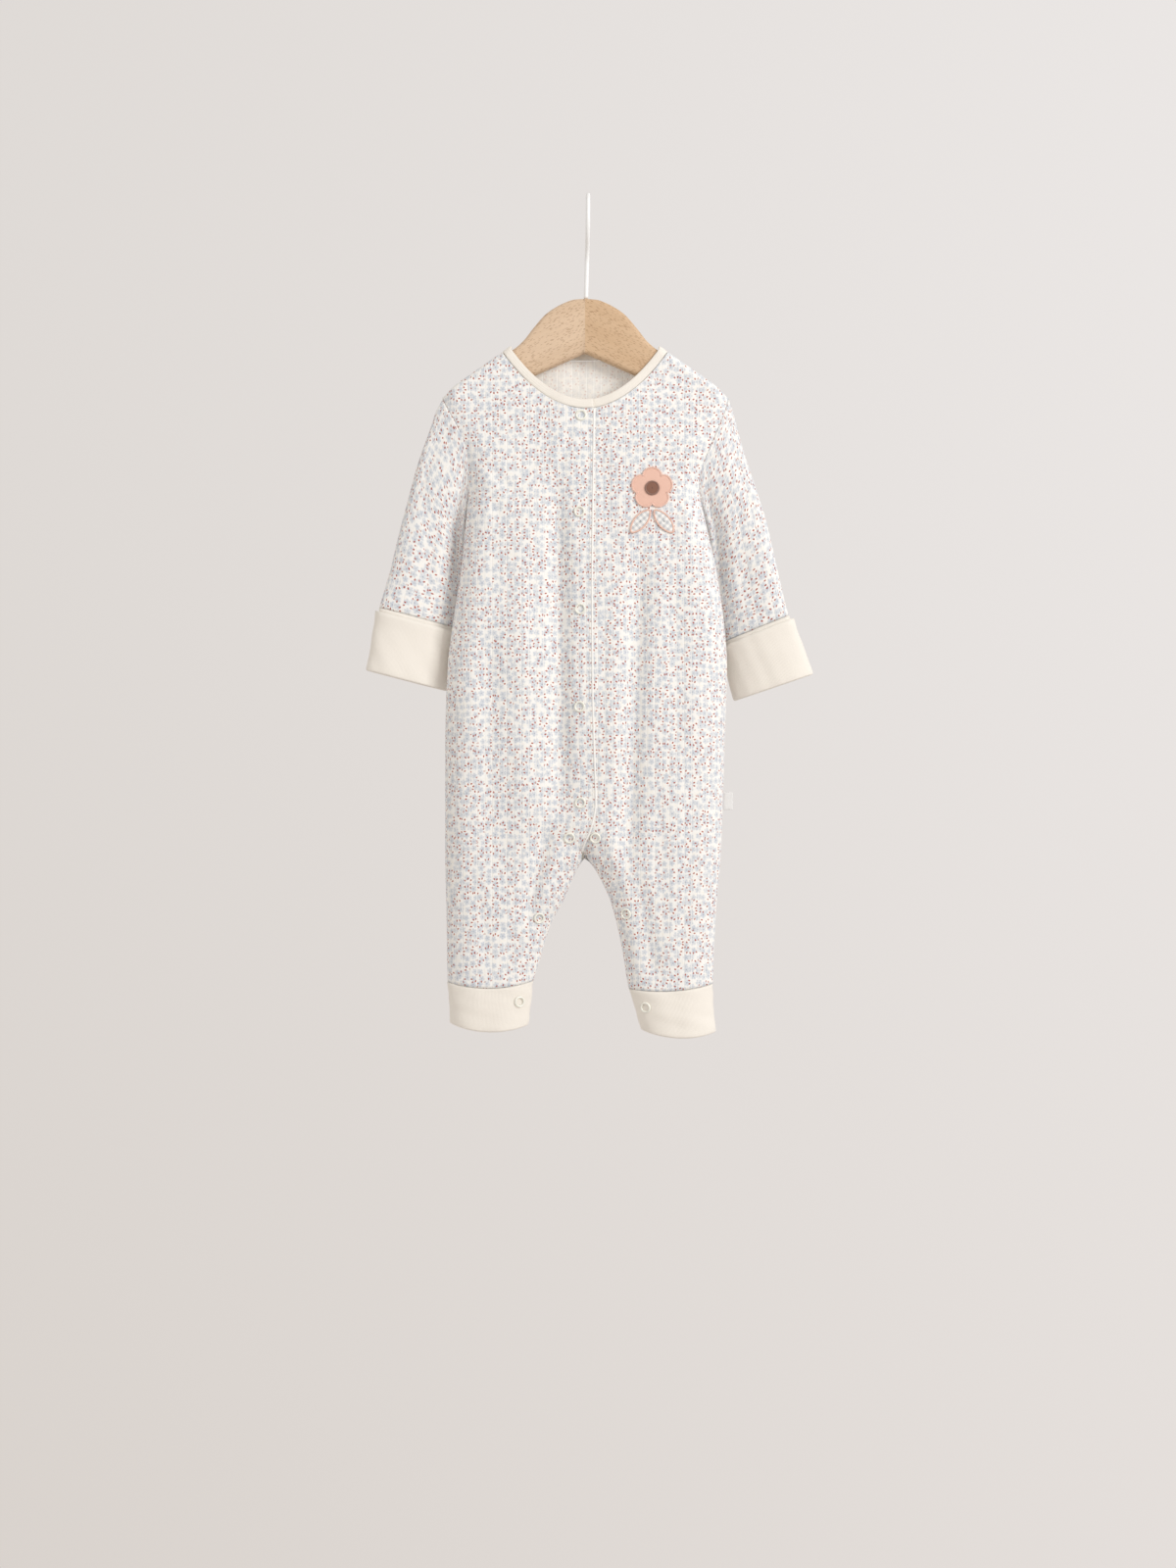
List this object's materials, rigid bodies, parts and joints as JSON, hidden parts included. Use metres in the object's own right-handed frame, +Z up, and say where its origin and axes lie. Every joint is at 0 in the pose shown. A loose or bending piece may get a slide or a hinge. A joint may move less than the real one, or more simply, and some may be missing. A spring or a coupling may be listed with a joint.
{
  "type": "baby sleepsuit on a wooden hanger",
  "caption": "Footless long-sleeved baby sleepsuit with a snap front and banded cuffs, hanging flat on a child's wooden hanger with a wire hook.",
  "frame": {"origin": "highest point inside the hook, where a rail bears on it", "axes": "+Z up, +X to the right as seen from the front, and the front faces -Y"},
  "size_m": [0.3647, 0.0491, 0.6888],
  "materials": {
    "print_jersey": "matt cotton rib jersey, cream with a small pale blue-grey flower and rust-red leaf print",
    "plain_jersey": "matt plain cream cotton jersey",
    "snap": "cream enamelled open ring",
    "label_tape": "plain white folded tape",
    "petal_cloth": "peach brushed cotton",
    "centre_cloth": "brown cotton",
    "leaf_cloth": "pale grey and white gingham cotton",
    "wood": "satin natural beech",
    "hook_wire": "white coated steel wire"
  },
  "bodies": {
    "root": {"front_right": "print_jersey", "front_left": "print_jersey", "back": "print_jersey", "sleeve_right": "print_jersey", "sleeve_left": "print_jersey", "sleeve_cuff_right": "plain_jersey", "sleeve_cuff_left": "plain_jersey", "leg_cuff_right": "plain_jersey", "leg_cuff_left": "plain_jersey", "neck_binding": "plain_jersey", "snap_01": "snap", "snap_02": "snap", "snap_03": "snap", "snap_04": "snap", "snap_05": "snap", "snap_06": "snap", "snap_07": "snap", "snap_08": "snap", "snap_09": "snap", "snap_10": "snap", "snap_11": "snap", "side_label": "label_tape", "applique_flower": "petal_cloth", "applique_centre": "centre_cloth", "applique_leaf_1": "leaf_cloth", "applique_leaf_2": "leaf_cloth", "hanger_right": "wood", "hanger_left": "wood", "hook": "hook_wire"}
  },
  "joints": []
}
